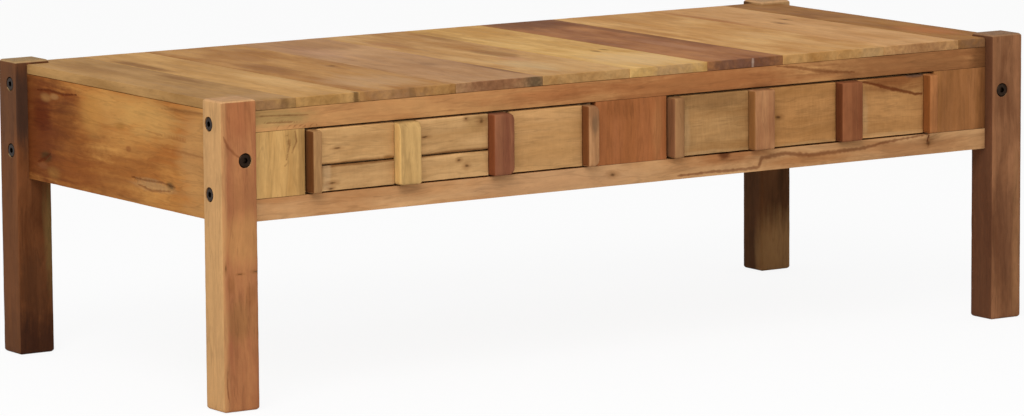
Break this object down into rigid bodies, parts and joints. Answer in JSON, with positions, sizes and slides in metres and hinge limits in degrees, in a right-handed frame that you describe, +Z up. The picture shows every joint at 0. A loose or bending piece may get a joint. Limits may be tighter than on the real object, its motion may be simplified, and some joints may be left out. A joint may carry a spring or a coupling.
{
  "type": "coffee table with drawers",
  "caption": "Low rectangular coffee table of mixed reclaimed boards on square corner legs, with drawers side by side in the front and raised battens as pulls.",
  "frame": {"origin": "on the floor, under the middle of the table", "axes": "+X along the length, to the right seen from the drawers; +Z up; the drawers open towards -Y"},
  "size_m": [1.1, 0.5, 0.34],
  "materials": {
    "leg_wood": "satin varnish",
    "top_wood": "satin varnish",
    "apron_wood": "satin varnish",
    "frame_wood": "satin varnish",
    "batten_wood": "satin varnish",
    "drawer_panel_wood": "satin varnish",
    "inner_wood": "unfinished",
    "plywood": "unfinished",
    "blackened_steel": "blackened, satin",
    "zinc_steel": "zinc plated"
  },
  "bodies": {
    "table": {"back_panel": "apron_wood", "barrel_nuts": "zinc_steel", "end_face_bolts": "blackened_steel", "end_panel_left": "apron_wood", "end_panel_right": "apron_wood", "front_bottom_rail": "frame_wood", "front_stile_centre": "frame_wood", "front_stile_left": "frame_wood", "front_stile_right": "frame_wood", "front_top_rail": "frame_wood", "leg_back_left": "leg_wood", "leg_back_right": "leg_wood", "leg_front_left": "leg_wood", "leg_front_right": "leg_wood", "long_face_bolts": "blackened_steel", "runner_left_drawer_left": "inner_wood", "runner_left_drawer_right": "inner_wood", "runner_right_drawer_left": "inner_wood", "runner_right_drawer_right": "inner_wood", "top_bearer_back": "inner_wood", "top_bearer_front": "inner_wood", "top_board_01": "top_wood", "top_board_02": "top_wood", "top_board_03": "top_wood", "top_board_04": "top_wood", "top_board_05": "top_wood", "top_board_06": "top_wood", "top_board_07": "top_wood", "top_board_08": "top_wood", "top_board_09": "top_wood", "top_board_10": "top_wood", "top_screws": "zinc_steel"},
    "drawer_left": {"drawer_left_back": "inner_wood", "drawer_left_batten_1": "batten_wood", "drawer_left_batten_2": "batten_wood", "drawer_left_batten_3": "batten_wood", "drawer_left_batten_4": "batten_wood", "drawer_left_bottom": "plywood", "drawer_left_box_front": "inner_wood", "drawer_left_panel_1_lower": "drawer_panel_wood", "drawer_left_panel_1_upper": "drawer_panel_wood", "drawer_left_panel_2_lower": "drawer_panel_wood", "drawer_left_panel_2_upper": "drawer_panel_wood", "drawer_left_panel_3": "drawer_panel_wood", "drawer_left_screws": "zinc_steel", "drawer_left_side_left": "inner_wood", "drawer_left_side_right": "inner_wood"},
    "drawer_right": {"drawer_right_back": "inner_wood", "drawer_right_batten_1": "batten_wood", "drawer_right_batten_2": "batten_wood", "drawer_right_batten_3": "batten_wood", "drawer_right_batten_4": "batten_wood", "drawer_right_bottom": "plywood", "drawer_right_box_front": "inner_wood", "drawer_right_panel_1": "drawer_panel_wood", "drawer_right_panel_2": "drawer_panel_wood", "drawer_right_panel_3": "drawer_panel_wood", "drawer_right_screws": "zinc_steel", "drawer_right_side_left": "inner_wood", "drawer_right_side_right": "inner_wood"}
  },
  "joints": [
    {"name": "drawer_left_slide", "type": "slide", "parent": "table", "child": "drawer_left", "axis": [0, -1, 0], "range_m": [0, 0.29]},
    {"name": "drawer_right_slide", "type": "slide", "parent": "table", "child": "drawer_right", "axis": [0, -1, 0], "range_m": [0, 0.29]}
  ]
}
